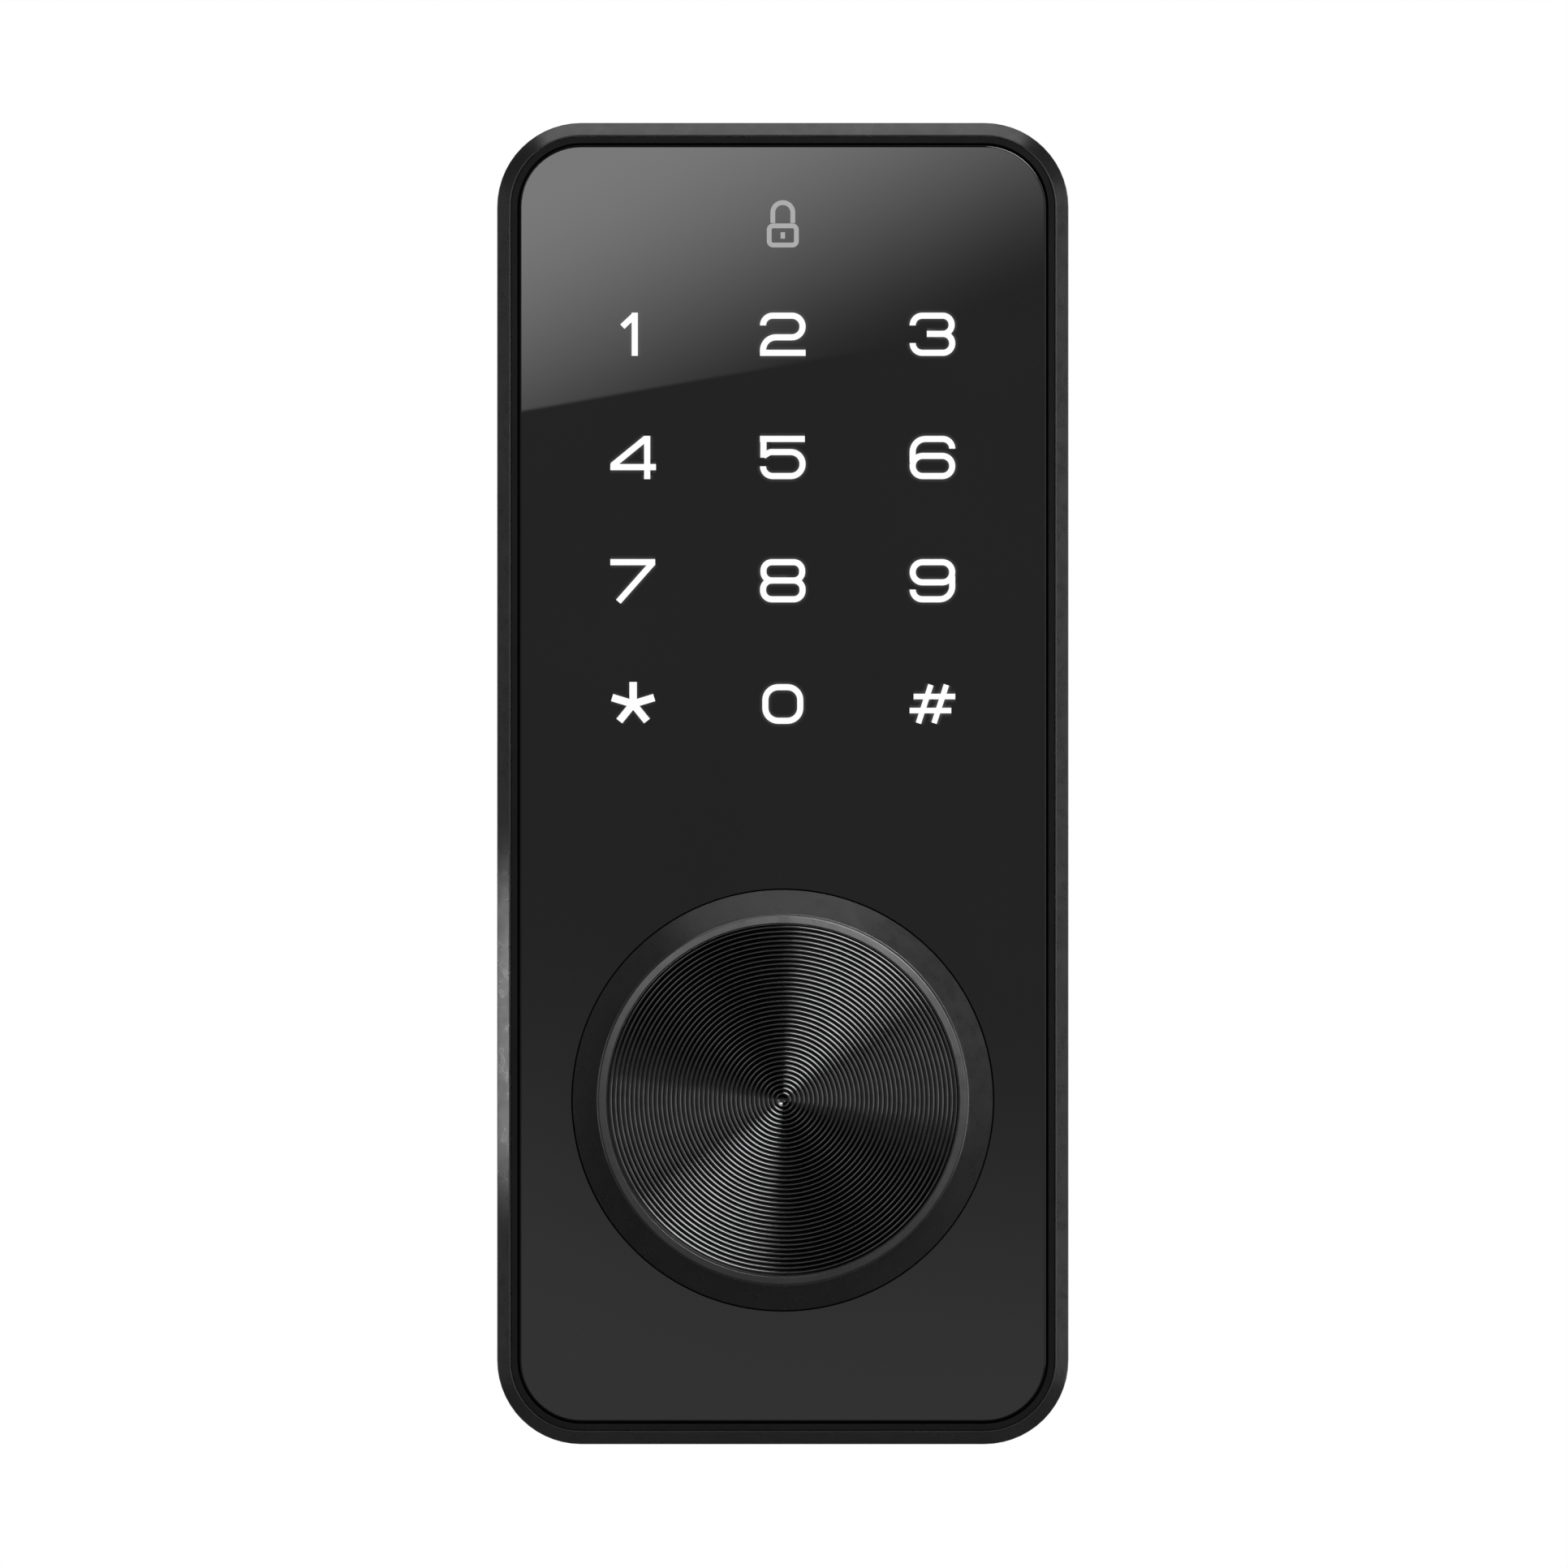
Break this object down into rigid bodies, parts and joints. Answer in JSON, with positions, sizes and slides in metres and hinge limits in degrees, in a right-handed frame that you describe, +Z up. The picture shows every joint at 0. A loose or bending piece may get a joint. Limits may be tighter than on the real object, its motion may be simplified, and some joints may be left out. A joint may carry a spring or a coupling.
{
  "type": "keypad smart lock",
  "caption": "Outside unit of an electronic deadbolt: a tall rounded dark housing with a black touch keypad above a grooved turning knob, and a tailpiece and bolt posts behind.",
  "frame": {"origin": "on the knob's axis, which is the axis of the door's cross bore, in the plane of the door's outside face", "axes": "+Z up the door; +X to the right of somebody facing the lock; +Y into the door, so the keypad faces -Y"},
  "size_m": [0.0714, 0.081, 0.1651],
  "materials": {
    "painted_zinc": "dark grey satin powder coat on die-cast zinc",
    "matte_black": "black moulded plastic",
    "panel_black": "black back-printed cover glass, polished",
    "anodised": "black anodised, turned with fine concentric grooves",
    "clear": "clear moulded acrylic",
    "white": "white lamp strip",
    "board": "green solder mask",
    "chip": "black moulded epoxy",
    "steel": "zinc plated or plain steel",
    "brass": "turned brass",
    "acetal": "natural acetal",
    "rubber": "black rubber"
  },
  "bodies": {
    "case": {"housing": "painted_zinc", "panel_frame": "matte_black", "touch_panel": "panel_black", "touch_sensor": "clear", "light_shade": "matte_black", "light_guide": "clear", "keypad_board": "board", "key_leds_row_1": "white", "key_leds_row_2": "white", "key_leds_row_3": "white", "key_leds_row_4": "white", "controller_chip": "chip", "radio_module": "steel", "buzzer": "chip", "harness_socket": "acetal", "motor_socket": "acetal", "board_screw_1": "steel", "board_screw_2": "steel", "board_screw_3": "steel", "board_screw_4": "steel", "knob_rose": "painted_zinc", "rose_screw_1": "steel", "rose_screw_2": "steel", "rose_screw_3": "steel", "knob_bush": "acetal", "knob_seal": "rubber", "thrust_washer": "brass", "clutch_motor": "steel", "motor_bracket": "steel", "bracket_screw_1": "steel", "bracket_screw_2": "steel", "output_bush": "acetal", "back_plate": "steel", "plate_screw_1": "steel", "plate_screw_2": "steel", "plate_screw_3": "steel", "plate_screw_4": "steel", "door_gasket": "rubber", "bore_collar": "matte_black", "bolt_post_left": "steel", "bolt_post_right": "steel", "cable_grommet": "rubber", "tamper_switch": "chip", "power_port": "steel", "power_board": "board"},
    "knob": {"knob_body": "painted_zinc", "knob_face": "anodised", "knob_screw": "steel", "knob_spindle": "steel", "spindle_clip": "steel", "drive_dog": "steel"},
    "output": {"output_spindle": "steel", "tailpiece": "steel", "tailpiece_pin": "steel", "output_clip": "steel"},
    "clutch": {"clutch_ring": "brass"},
    "fork": {"shift_fork": "steel"},
    "motor_shaft": {"lead_screw": "brass"},
    "tamper": {"tamper_plunger": "acetal"},
    "cover": {"port_cover": "rubber"}
  },
  "joints": [
    {"name": "knob_turn", "type": "hinge", "parent": "case", "child": "knob", "pos_m": [0, 0, 0], "axis": [0, -1, 0], "continuous": true},
    {"name": "output_turn", "type": "hinge", "parent": "case", "child": "output", "pos_m": [0, 0, 0], "axis": [0, -1, 0], "range_deg": [-90, 90]},
    {"name": "motor_turn", "type": "hinge", "parent": "case", "child": "motor_shaft", "pos_m": [0, 0, 0.0165], "axis": [0, -1, 0], "range_deg": [0, 360]},
    {"name": "fork_slide", "type": "slide", "parent": "case", "child": "fork", "axis": [0, -1, 0], "range_m": [0, 0.0022]},
    {"name": "clutch_slide", "type": "slide", "parent": "output", "child": "clutch", "axis": [0, -1, 0], "range_m": [0, 0.0022]},
    {"name": "tamper_press", "type": "slide", "parent": "case", "child": "tamper", "axis": [0, -1, 0], "range_m": [0, 0.0012], "stiffness_N_per_m": 200, "springref_m": -0.002},
    {"name": "cover_open", "type": "hinge", "parent": "case", "child": "cover", "pos_m": [0, -0.0089, -0.043], "axis": [1, 0, 0], "range_deg": [0, 100]}
  ],
  "couplings": [
    {"joint": "fork_slide", "follows": "clutch_slide", "ratio": 1},
    {"joint": "motor_turn", "follows": "clutch_slide", "rad_per_m": 2856}
  ]
}
